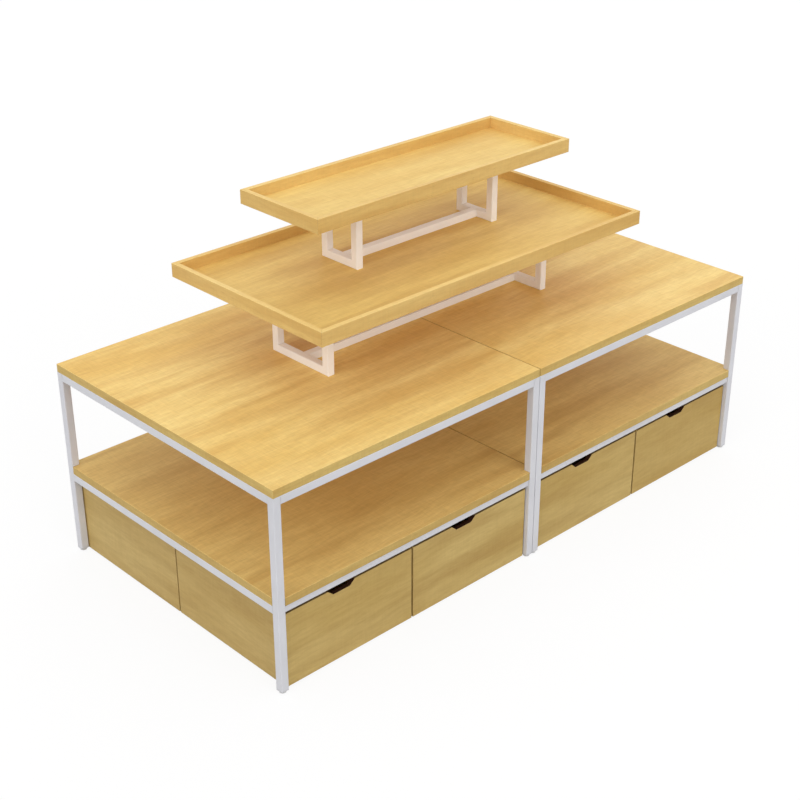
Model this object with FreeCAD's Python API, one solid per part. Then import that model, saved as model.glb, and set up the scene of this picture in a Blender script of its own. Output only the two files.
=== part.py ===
import FreeCAD, Part
import math
import os

# Display table for a shop floor: two square tables bolted side by side, each with a shelf and four
# roll-out storage boxes, and two tray risers stacked on top. Millimetres, +Z up, +X along the table,
# -Y towards the front. The origin is on the floor under the middle of the table.

# Frame, one square table at a time
MODULE = 1200.0            # outside width and depth of one table
MODULE_GAP = 2.0           # slot between the two frames
TUBE = 30.0                # square tube, outside
TUBE_WALL = 2.0
TUBE_CORNER = 1.8          # flat that stands for the tube's 3 mm corner radius
FOOT_HEIGHT = 10.0         # levelling foot under each leg
TABLE_HEIGHT = 770.0       # floor to the top of the top board
SHELF_HEIGHT = 365.0       # floor to the top of the shelf
SHELF_RAIL_INSET = 8.0     # front and rear shelf rails stand back from the leg faces
BOARD = 30.0               # thickness of top board and shelf
BOARD_INSET = 1.0          # board edges stand this far inside the frame
NOTCH_CLEARANCE = 1.0      # shelf notch round each leg
EDGE = 1.0                 # eased edge of the boards

# Feet and fasteners. Small round parts are drawn with a few flats, because there are so many of them.
SMALL_SIDES = 6
ROUND_SIDES = 12
PLUG_FLANGE = 2.0
PLUG_DEPTH = 18.0
FOOT_RADIUS = 12.0
FOOT_TOP_RADIUS = 7.0
STEM_RADIUS = 4.0
STEM_LENGTH = 32.0
SCREW_RADIUS = 2.5
SCREW_HOLE_RADIUS = 3.0
SCREW_HEAD_RADIUS = 4.5
SCREW_HEAD = 2.5
SCREW_BITE = 18.0
ACCESS_RADIUS = 6.0
BOARD_SCREW_OFFSET = 380.0   # from the middle of a rail to each of its screws
LINK_RADIUS = 4.0
LINK_HOLE_RADIUS = 4.5
LINK_HEAD_FLATS = 13.0
LINK_HEAD = 5.5
LINK_WASHER_RADIUS = 10.0
LINK_OFFSET = 320.0

# Roll-out boxes
BOX_RECESS = 17.0          # box front stands back from the front of the frame
BOX_LEG_CLEARANCE = 4.0
BOX_GAP = 8.0              # between two boxes side by side
BOX_ROW_GAP = 6.0          # between the backs of the two rows
BOX_BOTTOM = 4.0           # skirt above the floor
BOX_TOP = 291.0
BOX_BOARD = 18.0
BOX_FLOOR = 12.0           # bottom panel thickness
BOX_FLOOR_UNDER = 58.0     # underside of the bottom panel above the floor
BOX_GROOVE = 6.0           # bottom panel let into the sides
PULL_TOP = 118.0           # finger cut-out in the top edge of the front
PULL_BOTTOM = 72.0
PULL_DEPTH = 20.0
PULL_OFFSET = -36.0        # cut-out from the middle of the front, towards the left

# Fixed casters under each box
WHEEL_RADIUS = 20.0
WHEEL_WIDTH = 16.0
WHEEL_SIDES = 24
AXLE_SIDES = 8
AXLE_RADIUS = 3.0
AXLE_PLAY = 0.05
FORK_SHEET = 2.5
FORK_SIDE_PLAY = 1.0
FORK_LENGTH = 60.0
FORK_TIP = 18.0
FORK_DROP = 6.0            # cheek below the axle
PLATE_WIDTH = 44.0
PLATE_LENGTH = 62.0
PLATE_CORNER = 5.0
CASTER_INSET_X = 52.0      # from the outside of the box to the middle of a wheel
CASTER_INSET_Y = 70.0

# Tray risers: trays as (length, depth), frames as (length, depth, height), places as (x, y)
TRAY_HEIGHT = 52.0
TRAY_RIM = 20.0
TRAY_FLOOR = 12.0
FLANGE = 4.0
FLANGE_TONGUE = 40.0
FLANGE_HOLE_IN = 20.0
TRAY_SCREW_BITE = 9.0
MIDDLE_TRAY = (1590.0, 800.0)
MIDDLE_FRAME = (1120.0, 300.0, 274.0)
MIDDLE_AT = (-17.0, 13.0)
TOP_TRAY = (1250.0, 410.0)
TOP_FRAME = (715.0, 188.0, 235.0)
TOP_AT = (34.0, 84.0)

HALF = MODULE / 2
RAIL_LENGTH = MODULE - 2 * TUBE
BOARD_UNDER = TABLE_HEIGHT - BOARD
SHELF_UNDER = SHELF_HEIGHT - BOARD
MODULES = {"left": -(HALF + MODULE_GAP / 2), "right": HALF + MODULE_GAP / 2}
X_AXIS = FreeCAD.Vector(1, 0, 0)
Y_AXIS = FreeCAD.Vector(0, 1, 0)
Z_AXIS = FreeCAD.Vector(0, 0, 1)
ORIGIN = FreeCAD.Vector(0, 0, 0)


def save(node, solids):
    """One STEP file per node, its solids kept apart."""
    shape = solids[0] if len(solids) == 1 else Part.makeCompound(solids)
    shape.exportStep("parts/" + node + ".step")


def moved(shape, x=0.0, y=0.0, z=0.0):
    copy = shape.copy()
    copy.translate(FreeCAD.Vector(x, y, z))
    return copy


def turned(shape, axis, degrees):
    copy = shape.copy()
    copy.rotate(ORIGIN, axis, degrees)
    return copy


def box(x, y, z):
    """Box between three pairs of limits."""
    corner = FreeCAD.Vector(x[0], y[0], z[0])
    return Part.makeBox(x[1] - x[0], y[1] - y[0], z[1] - z[0], corner)


def rod(radius, length, x, y, z, axis=Z_AXIS, sides=SMALL_SIDES):
    """Round bar drawn with flats, its corners on the radius and one flat towards -Y."""
    corner = FreeCAD.Vector(0, -radius, 0)
    turns = [360.0 * (step + 0.5) / sides for step in range(sides + 1)]
    outline = Part.makePolygon([FreeCAD.Rotation(Z_AXIS, turn).multVec(corner) for turn in turns])
    bar = Part.Face(outline).extrude(Z_AXIS * length)
    if axis == X_AXIS:
        bar = turned(bar, Y_AXIS, 90)
    return moved(bar, x, y, z)


def eased(board, size, chosen):
    """Takes a small flat off the edges of a board for which chosen(edge) is true."""
    return board.makeChamfer(size, [edge for edge in board.Edges if chosen(edge)])


def prism(points, plane, start, length):
    """Extrudes an outline. plane XY rises along Z, plane XZ runs along Y."""
    if plane == "XY":
        corners = [FreeCAD.Vector(a, b, start) for a, b in points]
        run = Z_AXIS * length
    else:
        corners = [FreeCAD.Vector(a, start, b) for a, b in points]
        run = Y_AXIS * length
    return Part.Face(Part.makePolygon(corners + corners[:1])).extrude(run)


# Square tube

def tube(length):
    """Square tube along +Z from the origin, centred on the Z axis."""
    half = TUBE / 2
    bar = Part.makeBox(TUBE, TUBE, length, FreeCAD.Vector(-half, -half, 0))
    bar = eased(bar, TUBE_CORNER, lambda edge: abs(edge.BoundBox.ZLength - length) < 1e-6)
    bore = TUBE - 2 * TUBE_WALL
    return bar.cut(Part.makeBox(bore, bore, length, FreeCAD.Vector(-bore / 2, -bore / 2, 0)))


def tube_x(length):
    """Square tube centred on the origin, along X."""
    return turned(moved(tube(length), z=-length / 2), Y_AXIS, 90)


def tube_y(length):
    """Square tube centred on the origin, along Y."""
    return turned(moved(tube(length), z=-length / 2), X_AXIS, 90)


# Welded frame of one table, about its own centre

def legs():
    length = BOARD_UNDER - FOOT_HEIGHT
    reach = HALF - TUBE / 2
    return [moved(tube(length), x, y, FOOT_HEIGHT) for x in (-reach, reach) for y in (-reach, reach)]


def rails(under, inset, link_side, screw_holes):
    """Four rails between the legs. inset sets the front and rear rails back from the leg faces."""
    level = under - TUBE / 2
    reach = HALF - TUBE / 2
    link_holes = [rod(LINK_HOLE_RADIUS, 2 * TUBE, link_side * HALF - TUBE, y, level, X_AXIS)
                  for y in (-LINK_OFFSET, LINK_OFFSET)]
    pieces = []
    for side in (-1, 1):
        across = moved(tube_x(RAIL_LENGTH), 0, side * (reach - inset), level)
        along = moved(tube_y(RAIL_LENGTH), side * reach, 0, level)
        if screw_holes:
            for x in (-BOARD_SCREW_OFFSET, BOARD_SCREW_OFFSET):
                y = side * (reach - inset)
                across = across.cut(rod(ACCESS_RADIUS, TUBE / 2, x, y, under - TUBE))
                across = across.cut(rod(SCREW_HOLE_RADIUS, TUBE / 2, x, y, level))
        if side == link_side:
            for hole in link_holes:
                along = along.cut(hole)
        pieces += [across, along]
    return pieces


def top_board():
    reach = HALF - BOARD_INSET
    board = box((-reach, reach), (-reach, reach), (BOARD_UNDER, TABLE_HEIGHT))
    board = eased(board, EDGE, lambda edge: edge.BoundBox.ZMin > TABLE_HEIGHT - 1e-6
                  or edge.BoundBox.ZLength > BOARD / 2)
    for x in (-BOARD_SCREW_OFFSET, BOARD_SCREW_OFFSET):
        for y in (-HALF + TUBE / 2, HALF - TUBE / 2):
            board = board.cut(rod(SCREW_RADIUS, SCREW_BITE, x, y, BOARD_UNDER))
    return board


def shelf_board():
    """Shelf with a square notch round each leg."""
    reach = HALF - BOARD_INSET
    notch = HALF - TUBE - NOTCH_CLEARANCE
    board = box((-reach, reach), (-reach, reach), (SHELF_UNDER, SHELF_HEIGHT))
    board = eased(board, EDGE, lambda edge: edge.BoundBox.ZMin > SHELF_HEIGHT - 1e-6)
    for x in ((-HALF, -notch), (notch, HALF)):
        for y in ((-HALF, -notch), (notch, HALF)):
            board = board.cut(box(x, y, (SHELF_UNDER, SHELF_HEIGHT)))
    return board


def leg_plug():
    """Plastic plug in the end of a leg, with the thread for the foot."""
    half = TUBE / 2
    bore = half - TUBE_WALL
    flange = box((-half, half), (-half, half), (FOOT_HEIGHT - PLUG_FLANGE, FOOT_HEIGHT))
    flange = eased(flange, TUBE_CORNER, lambda edge: edge.BoundBox.ZLength > PLUG_FLANGE / 2)
    body = box((-bore, bore), (-bore, bore), (FOOT_HEIGHT, FOOT_HEIGHT + PLUG_DEPTH))
    return flange.fuse(body).removeSplitter().cut(rod(STEM_RADIUS, 2 * PLUG_DEPTH, 0, 0, 0))


def levelling_foot():
    """Nylon pad, tapered towards its threaded stem."""
    pad_height = FOOT_HEIGHT - PLUG_FLANGE
    pad = rod(FOOT_RADIUS, pad_height, 0, 0, 0, sides=ROUND_SIDES)
    pad = eased(pad, FOOT_RADIUS - FOOT_TOP_RADIUS, lambda edge: edge.BoundBox.ZMin > pad_height - 1e-6)
    return pad.fuse(rod(STEM_RADIUS, STEM_LENGTH - pad_height, 0, 0, pad_height))


def board_screw():
    """Screw up through the top wall of a rail into the board, head inside the tube."""
    seat = BOARD_UNDER - TUBE_WALL
    head = rod(SCREW_HEAD_RADIUS, SCREW_HEAD, 0, 0, seat - SCREW_HEAD)
    shank = rod(SCREW_RADIUS, TUBE_WALL + SCREW_BITE, 0, 0, seat)
    return head.fuse(shank)


def link_bolt():
    """Bolt with its nut and spacer washer, holding two neighbouring rails together."""
    outer = MODULE_GAP / 2 + TUBE
    head_radius = LINK_HEAD_FLATS / 2 / math.cos(math.pi / 6)
    shank = rod(LINK_RADIUS, 2 * outer + LINK_HEAD, -outer, 0, 0, X_AXIS)
    head = rod(head_radius, LINK_HEAD, -outer - LINK_HEAD, 0, 0, X_AXIS)
    nut = rod(head_radius, LINK_HEAD, outer, 0, 0, X_AXIS)
    washer = rod(LINK_WASHER_RADIUS, MODULE_GAP, -MODULE_GAP / 2, 0, 0, X_AXIS, ROUND_SIDES)
    return [head.fuse(shank), nut.cut(shank), washer.cut(shank)]


def tables():
    for name, centre in MODULES.items():
        link_side = 1 if name == "left" else -1
        top_rails = rails(BOARD_UNDER, 0.0, link_side, screw_holes=True)
        shelf_rails = rails(SHELF_UNDER, SHELF_RAIL_INSET, link_side, screw_holes=False)
        groups = {"legs": legs(), "rails": top_rails + shelf_rails,
                  "top_board": [top_board()], "shelf_board": [shelf_board()]}
        for part, solids in groups.items():
            save(name + "_" + part, [moved(solid, centre) for solid in solids])
    reach = HALF - TUBE / 2
    corners = [(centre + x, y) for centre in MODULES.values()
               for x in (-reach, reach) for y in (-reach, reach)]
    save("leg_plugs", [moved(leg_plug(), x, y) for x, y in corners])
    save("levelling_feet", [moved(levelling_foot(), x, y) for x, y in corners])
    save("board_screws", [moved(board_screw(), centre + x, y) for centre in MODULES.values()
                          for x in (-BOARD_SCREW_OFFSET, BOARD_SCREW_OFFSET) for y in (-reach, reach)])
    save("link_bolts", [moved(piece, 0, y, under - TUBE / 2) for under in (BOARD_UNDER, SHELF_UNDER)
                        for y in (-LINK_OFFSET, LINK_OFFSET) for piece in link_bolt()])


# Roll-out storage box, its front facing -Y, standing at the origin

BOX_WIDTH = (RAIL_LENGTH - 2 * BOX_LEG_CLEARANCE - BOX_GAP) / 2
BOX_DEPTH = HALF - BOX_RECESS - BOX_ROW_GAP / 2


def box_floor():
    half_x = BOX_WIDTH / 2 - BOX_BOARD + BOX_GROOVE
    half_y = BOX_DEPTH / 2 - BOX_BOARD + BOX_GROOVE
    return box((-half_x, half_x), (-half_y, half_y), (BOX_FLOOR_UNDER, BOX_FLOOR_UNDER + BOX_FLOOR))


def box_front():
    """Front board, mitred into the sides, with the finger cut-out in its top edge."""
    half, front = BOX_WIDTH / 2, -BOX_DEPTH / 2
    outline = [(-half, front), (half, front), (half - BOX_BOARD, front + BOX_BOARD),
               (-half + BOX_BOARD, front + BOX_BOARD)]
    board = prism(outline, "XY", BOX_BOTTOM, BOX_TOP - BOX_BOTTOM)
    board = eased(board, EDGE, lambda edge: edge.BoundBox.YMax < front + 1e-6
                  and edge.BoundBox.ZLength < 1e-6)
    wide, narrow = PULL_TOP / 2, PULL_BOTTOM / 2
    low = BOX_TOP - PULL_DEPTH
    pull = [(PULL_OFFSET - narrow, low), (PULL_OFFSET + narrow, low),
            (PULL_OFFSET + wide, BOX_TOP), (PULL_OFFSET - wide, BOX_TOP)]
    board = board.cut(prism(pull, "XZ", front, BOX_BOARD))
    return board.cut(box_floor())


def box_carcass():
    """Two sides, a back and a bottom panel let into grooves."""
    half, front, back = BOX_WIDTH / 2, -BOX_DEPTH / 2, BOX_DEPTH / 2
    height = BOX_TOP - BOX_BOTTOM
    left_outline = [(-half, front), (-half + BOX_BOARD, front + BOX_BOARD),
                    (-half + BOX_BOARD, back), (-half, back)]
    floor = box_floor()
    left = prism(left_outline, "XY", BOX_BOTTOM, height)
    left = eased(left, EDGE, lambda edge: edge.BoundBox.XMax < -half + 1e-6
                 and edge.BoundBox.ZMin > BOX_TOP - 1e-6)
    left = left.cut(floor)
    right = left.mirror(ORIGIN, X_AXIS)
    rear = box((-half + BOX_BOARD, half - BOX_BOARD), (back - BOX_BOARD, back), (BOX_BOTTOM, BOX_TOP))
    return [left, right, rear.cut(floor), floor]


def caster_places():
    x = BOX_WIDTH / 2 - CASTER_INSET_X
    y = BOX_DEPTH / 2 - CASTER_INSET_Y
    return {"front": [(-x, -y), (x, -y)], "rear": [(-x, y), (x, y)]}


def caster_fork():
    """Pressed steel: a plate under the box and two cheeks, with the axle riveted fast between them."""
    inner = WHEEL_WIDTH / 2 + FORK_SIDE_PLAY
    outer = inner + FORK_SHEET
    top = BOX_FLOOR_UNDER
    tip = WHEEL_RADIUS - FORK_DROP
    half = FORK_LENGTH / 2
    cheek = [(-half, top), (-FORK_TIP / 2, tip), (FORK_TIP / 2, tip), (half, top)]
    cheeks = turned(prism(cheek, "XZ", -outer, 2 * outer), Z_AXIS, 90)
    cheeks = cheeks.cut(box((-inner, inner), (-half, half), (0, top - FORK_SHEET)))
    plate_x, plate_y = PLATE_WIDTH / 2, PLATE_LENGTH / 2
    plate = box((-plate_x, plate_x), (-plate_y, plate_y), (top - FORK_SHEET, top))
    plate = eased(plate, PLATE_CORNER, lambda edge: edge.BoundBox.ZLength > FORK_SHEET / 2)
    axle = rod(AXLE_RADIUS, 2 * inner, -inner, 0, WHEEL_RADIUS, X_AXIS, AXLE_SIDES)
    return cheeks.fuse([plate, axle]).removeSplitter()


def wheel():
    """Wheel with its flats outside the rolling radius, and a bore whose flats clear the axle."""
    side = -WHEEL_WIDTH / 2
    rolling = WHEEL_RADIUS / math.cos(math.pi / WHEEL_SIDES)
    running = (AXLE_RADIUS + AXLE_PLAY) / math.cos(math.pi / AXLE_SIDES)
    disc = rod(rolling, WHEEL_WIDTH, side, 0, WHEEL_RADIUS, X_AXIS, WHEEL_SIDES)
    return disc.cut(rod(running, WHEEL_WIDTH, side, 0, WHEEL_RADIUS, X_AXIS, AXLE_SIDES))


def boxes():
    """Boxes 1 to 4 roll out to the front, 5 to 8 to the rear, numbered from the left."""
    step = (BOX_WIDTH + BOX_GAP) / 2
    columns = [centre + side * step for centre in MODULES.values() for side in (-1, 1)]
    row = (BOX_DEPTH + BOX_ROW_GAP) / 2
    places = [(x, -row, 0) for x in columns] + [(x, row, 180) for x in columns]
    wheels = caster_places()
    pieces = {
        "front": [box_front()],
        "carcass": box_carcass(),
        "casters": [moved(caster_fork(), x, y) for end in wheels.values() for x, y in end],
        "front_wheels": [moved(wheel(), x, y) for x, y in wheels["front"]],
        "rear_wheels": [moved(wheel(), x, y) for x, y in wheels["rear"]],
    }
    for number, (x, y, angle) in enumerate(places, 1):
        for name, solids in pieces.items():
            placed = [moved(turned(solid, Z_AXIS, angle), x, y) for solid in solids]
            save("drawer_%d_%s" % (number, name), placed)


# Tray risers

def mitred(bar, corner, normal):
    """Cuts away what lies beyond a 45 degree plane through corner."""
    size = 4 * TUBE
    cutter = Part.makeBox(size, size, size, FreeCAD.Vector(-size / 2, -size / 2, 0))
    cutter.Placement = FreeCAD.Placement(corner, FreeCAD.Rotation(Z_AXIS, normal))
    return bar.cut(cutter)


def u_frame(depth, height):
    """One U of square tube in the YZ plane, mitred at its two corners, with flanges on top."""
    reach = depth / 2
    upright_height = height - FLANGE
    bar = moved(tube_y(depth), 0, 0, TUBE / 2)
    pieces = []
    for side in (-1, 1):
        corner = FreeCAD.Vector(0, side * reach, 0)
        bar = mitred(bar, corner, FreeCAD.Vector(0, side, 1))
        upright = moved(tube(upright_height), 0, side * (reach - TUBE / 2), 0)
        pieces.append(mitred(upright, corner, FreeCAD.Vector(0, -side, -1)))
    return [bar] + pieces


def flange(side, depth, height):
    """Plate welded on an upright, its tongue pointing to the middle of the riser."""
    half = TUBE / 2
    pieces = []
    for y in (-depth / 2 + half, depth / 2 - half):
        tongue = sorted((side * half, -side * (half + FLANGE_TONGUE)))
        plate = box(tongue, (y - half, y + half), (height - FLANGE, height))
        hole_x = -side * (half + FLANGE_TONGUE - FLANGE_HOLE_IN)
        pieces.append(plate.cut(rod(SCREW_HOLE_RADIUS, FLANGE, hole_x, y, height - FLANGE)))
    return pieces


def flange_holes(length, depth):
    """Screw places of one riser, about its centre."""
    x = length / 2 - TUBE - FLANGE_TONGUE + FLANGE_HOLE_IN
    y = depth / 2 - TUBE / 2
    return [(a, b) for a in (-x, x) for b in (-y, y)]


def tray_screw(height):
    head = rod(SCREW_HEAD_RADIUS, SCREW_HEAD, 0, 0, height - FLANGE - SCREW_HEAD)
    return head.fuse(rod(SCREW_RADIUS, FLANGE + TRAY_SCREW_BITE, 0, 0, height - FLANGE))


def tray_rims(length, depth):
    """Four rim boards, mitred at the corners, their upper edges eased."""
    pieces = []
    for run, across, angle in ((length, depth, 0), (depth, length, 90)):
        for side in (-1, 1):
            outer, inner = -across / 2, -across / 2 + TRAY_RIM
            outline = [(-run / 2, outer), (run / 2, outer),
                       (run / 2 - TRAY_RIM, inner), (-run / 2 + TRAY_RIM, inner)]
            rim = prism(outline, "XY", 0, TRAY_HEIGHT)
            rim = eased(rim, EDGE, lambda edge: edge.BoundBox.ZMin > TRAY_HEIGHT - 1e-6
                        and edge.BoundBox.YLength < 1e-6)
            pieces.append(turned(rim, Z_AXIS, angle if side < 0 else angle + 180))
    return pieces


def riser(name, tray, frame, place, stands_at):
    """Tray on two U frames joined by one low stretcher."""
    length, depth, height = frame
    holes = flange_holes(length, depth)
    reach = length / 2 - TUBE / 2
    steel = []
    for side in (-1, 1):
        u_pieces = u_frame(depth, height) + flange(side, depth, height)
        steel += [moved(piece, side * reach) for piece in u_pieces]
    steel.append(moved(tube_x(length - 2 * TUBE), 0, 0, TUBE / 2))
    half_x, half_y = tray[0] / 2 - TRAY_RIM, tray[1] / 2 - TRAY_RIM
    floor = box((-half_x, half_x), (-half_y, half_y), (height, height + TRAY_FLOOR))
    for x, y in holes:
        floor = floor.cut(rod(SCREW_RADIUS, TRAY_SCREW_BITE, x, y, height))
    rims = [moved(rim, z=height) for rim in tray_rims(*tray)]
    screws = [moved(tray_screw(height), x, y) for x, y in holes]
    groups = {"riser_frame": steel, "tray_floor": [floor], "tray_rims": rims, "tray_screws": screws}
    for part, solids in groups.items():
        save(name + "_" + part, [moved(solid, place[0], place[1], stands_at) for solid in solids])


os.makedirs("parts", exist_ok=True)
tables()
boxes()
riser("middle", MIDDLE_TRAY, MIDDLE_FRAME, MIDDLE_AT, TABLE_HEIGHT)
riser("top", TOP_TRAY, TOP_FRAME, TOP_AT, TABLE_HEIGHT + MIDDLE_FRAME[2] + TRAY_FLOOR)
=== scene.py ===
import bpy
import bmesh
import math
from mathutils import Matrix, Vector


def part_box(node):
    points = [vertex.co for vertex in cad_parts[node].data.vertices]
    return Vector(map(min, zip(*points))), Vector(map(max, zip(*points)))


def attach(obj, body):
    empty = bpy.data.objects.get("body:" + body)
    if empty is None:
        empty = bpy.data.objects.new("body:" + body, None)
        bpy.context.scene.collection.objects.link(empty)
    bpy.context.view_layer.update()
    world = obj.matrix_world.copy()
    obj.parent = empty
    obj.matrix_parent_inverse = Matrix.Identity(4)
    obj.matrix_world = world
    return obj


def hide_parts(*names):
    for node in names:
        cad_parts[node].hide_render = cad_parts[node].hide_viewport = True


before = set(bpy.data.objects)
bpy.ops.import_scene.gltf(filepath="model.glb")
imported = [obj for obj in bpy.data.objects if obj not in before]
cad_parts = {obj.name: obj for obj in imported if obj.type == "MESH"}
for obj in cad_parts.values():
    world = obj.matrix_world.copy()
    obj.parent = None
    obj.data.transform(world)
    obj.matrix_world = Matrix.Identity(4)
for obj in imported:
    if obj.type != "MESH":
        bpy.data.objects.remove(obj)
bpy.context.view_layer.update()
bpy.ops.object.select_all(action="DESELECT")


# --- Frames ------------------------------------------------------------------------------------------
# Two frames of 30 mm square steel tube, welded and then powder coated white. The coat has a fine orange
# peel, and a painted highlight brightens it along the tube's corners.

TUBE = 0.030
TUBE_CORNER_RADIUS = 0.003
PEEL_FINENESS = 800.0
PEEL_DEPTH = 0.00006
CLOUDING = 7                       # how much darker the coat is in its clouds


def linear(red, green, blue):
    """Colour on the 0 to 255 scale of paint charts, as the shader wants it."""
    def channel(value):
        value /= 255
        return value / 12.92 if value <= 0.04045 else ((value + 0.055) / 1.055) ** 2.4
    return (channel(red), channel(green), channel(blue), 1.0)


def put(tree, kind, values=(), **settings):
    """Adds a node. values pairs an input's name or number with a number, a colour or a socket."""
    made = tree.nodes.new("ShaderNode" + kind)
    for name, setting in settings.items():
        setattr(made, name, setting)
    for name, value in values:
        if isinstance(value, bpy.types.NodeSocket):
            tree.links.new(value, made.inputs[name])
        else:
            made.inputs[name].default_value = value
    return made


def reckon(tree, operation, *values):
    """Reckons with numbers that change over the surface."""
    return put(tree, "Math", list(enumerate(values)), operation=operation).outputs[0]


def spread(tree, value, low, high):
    """Draws the range low to high out to 0 to 1."""
    return put(tree, "MapRange", [("Value", value), ("From Min", low), ("From Max", high)]).outputs[0]


def blend(tree, factor, first, second):
    """Mixes two colours."""
    return put(tree, "Mix", [(0, factor), (6, first), (7, second)], data_type="RGBA").outputs[2]


def new_group(name, inputs, outputs):
    """Shader node group with (name, kind) sockets. Returns the group, its input and its output node."""
    group = bpy.data.node_groups.new(name, "ShaderNodeTree")
    for label, kind in inputs:
        group.interface.new_socket(label, in_out="INPUT", socket_type="NodeSocket" + kind)
    for label, kind in outputs:
        group.interface.new_socket(label, in_out="OUTPUT", socket_type="NodeSocket" + kind)
    return group, group.nodes.new("NodeGroupInput"), group.nodes.new("NodeGroupOutput")


def new_material(name):
    """Node material. Returns it with its tree and its shader."""
    material = bpy.data.materials.new(name)
    material.use_nodes = True
    return material, material.node_tree, material.node_tree.nodes["Principled BSDF"]


# Painted edge highlight: 1 along a piece's sharp edges, broken up a little, and the rounded-over normal
# there.
highlit_edge, highlit_edge_in, highlit_edge_out = new_group("painted_edge_highlight", [("Radius", "Float")],
                                    [("Edge", "Float"), ("Normal", "Vector")])
eased_normal = put(highlit_edge, "Bevel", [("Radius", highlit_edge_in.outputs[0])], samples=4).outputs[0]
true_normal = put(highlit_edge, "NewGeometry").outputs["True Normal"]
alike = put(highlit_edge, "VectorMath", [(0, eased_normal), (1, true_normal)],
            operation="DOT_PRODUCT").outputs["Value"]
turned_away = spread(highlit_edge, alike, 0.995, 0.80)
patches = put(highlit_edge, "TexNoise", [("Vector", put(highlit_edge, "TexCoord").outputs["Object"]), ("Scale", 14.0),
                                 ("Detail", 4.0)]).outputs[0]
broken_up = reckon(highlit_edge, "MULTIPLY", turned_away, spread(highlit_edge, patches, 0.25, 0.60))
highlit_edge.links.new(broken_up, highlit_edge_out.inputs["Edge"])
highlit_edge.links.new(eased_normal, highlit_edge_out.inputs["Normal"])

# Orange peel: the fine waves of a baked coat, in waves per metre, and the soft clouds where it is darker.
peeled, peeled_in, peeled_out = new_group("orange_peel", [("Fineness", "Float")],
                                          [("Peel", "Float"), ("Clouds", "Float")])
coat_place = put(peeled, "TexCoord").outputs["Object"]
waves = put(peeled, "TexNoise", [("Vector", coat_place), ("Scale", peeled_in.outputs[0]),
                                 ("Detail", 2.0)]).outputs[0]
clouds = put(peeled, "TexNoise", [("Vector", coat_place), ("Scale", 7.0), ("Detail", 4.0)]).outputs[0]
peeled.links.new(waves, peeled_out.inputs["Peel"])
peeled.links.new(spread(peeled, clouds, 0.35, 0.65), peeled_out.inputs["Clouds"])


def powder_coat(name, colour, corner_highlight):
    """Powder coat of a colour, with the colour of the highlight painted along its corners."""
    material, tree, shader = new_material(name)
    surface = put(tree, "Group", [("Fineness", PEEL_FINENESS)], node_tree=peeled)
    peel = surface.outputs["Peel"]
    edge_highlight = put(tree, "Group", [("Radius", TUBE_CORNER_RADIUS)], node_tree=highlit_edge)
    clouded = linear(*(value - CLOUDING for value in colour))
    coat = blend(tree, surface.outputs["Clouds"], linear(*colour), clouded)
    speckled = blend(tree, reckon(tree, "MULTIPLY", peel, 0.10), coat, clouded)
    # Painted highlight along the tube's corners.
    cornered = blend(tree, reckon(tree, "MULTIPLY", edge_highlight.outputs["Edge"], 0.5), speckled, linear(*corner_highlight))
    tree.links.new(cornered, shader.inputs["Base Color"])
    tree.links.new(reckon(tree, "MULTIPLY_ADD", peel, 0.14, 0.36), shader.inputs["Roughness"])
    bump = put(tree, "Bump", [("Height", peel), ("Distance", PEEL_DEPTH), ("Strength", 0.6),
                              ("Normal", edge_highlight.outputs["Normal"])])
    tree.links.new(bump.outputs[0], shader.inputs["Normal"])
    shader.inputs["Specular IOR Level"].default_value = 0.4
    return material


def dress(node, material):
    """Gives a carried-over piece its material."""
    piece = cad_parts[node]
    piece.data.materials.clear()
    piece.data.materials.append(material)


frame_white = powder_coat("frame_white", (225, 225, 230), (238, 238, 242))
for module in ("left", "right"):
    dress(module + "_legs", frame_white)
    dress(module + "_rails", frame_white)


# --- Frame welds -------------------------------------------------------------------------------------
# Where a rail lies level with a leg's face, the weld is ground flush and fills the groove that the leg's
# rounded corner leaves. In the inner corners it stays as laid, in small ripples. The shelf rails reach
# past the legs on the inside, where a small plate closes their open ends.

MODULE_CENTRES = (-0.601, 0.601)
LEG_REACH = 0.585                  # from the middle of a table to the middle of its legs
RAIL_LEVELS = ((0.725, 0.0), (0.320, 0.008))      # middle of the rails, and how far front and rear stand back
GROOVE = 0.0018
FLAT_OF_TUBE = 0.0264              # between the rounded corners
BEAD_RADIUS = 0.0019
BEAD_LENGTH = 0.026
RIPPLES = 9
VALLEY = 0.8                       # of the bead's radius, between two ripples
END_PLATE = 0.0015
END_PLATE_EASE = 0.0004            # rounding of its edges
QUARTERS = {(-1, 1): 0, (-1, -1): 90, (1, -1): 180, (1, 1): 270}      # turn of a filler, by the side it fills


def open_piece(name, primitive, **size):
    """Adds a primitive with nothing else selected, and opens it for editing."""
    bpy.ops.object.select_all(action="DESELECT")
    getattr(bpy.ops.mesh, "primitive_" + primitive + "_add")(**size)
    bpy.ops.object.transform_apply(location=True, rotation=True, scale=True)
    bpy.context.object.name = name
    bpy.ops.object.mode_set(mode="EDIT")
    return bpy.context.object


def pick(piece, kind, chosen):
    """Selects the verts, edges or faces of an open piece for which chosen is true."""
    bpy.ops.mesh.select_mode(type={"verts": "VERT", "edges": "EDGE", "faces": "FACE"}[kind])
    bpy.ops.mesh.select_all(action="DESELECT")
    shape = bmesh.from_edit_mesh(piece.data)
    shape.normal_update()
    for element in getattr(shape, kind):
        if chosen(element):
            element.select_set(True)
    shape.select_flush_mode()
    bmesh.update_edit_mesh(piece.data)


def extrude(x=0.0, y=0.0, z=0.0):
    """Draws out what is selected."""
    bpy.ops.mesh.extrude_region_move(TRANSFORM_OT_translate={"value": (x, y, z)})


def resize(x=1.0, y=1.0, z=1.0):
    """Scales what is selected about the piece's own axis."""
    bpy.ops.transform.resize(value=(x, y, z), center_override=(0, 0, 0))


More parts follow.
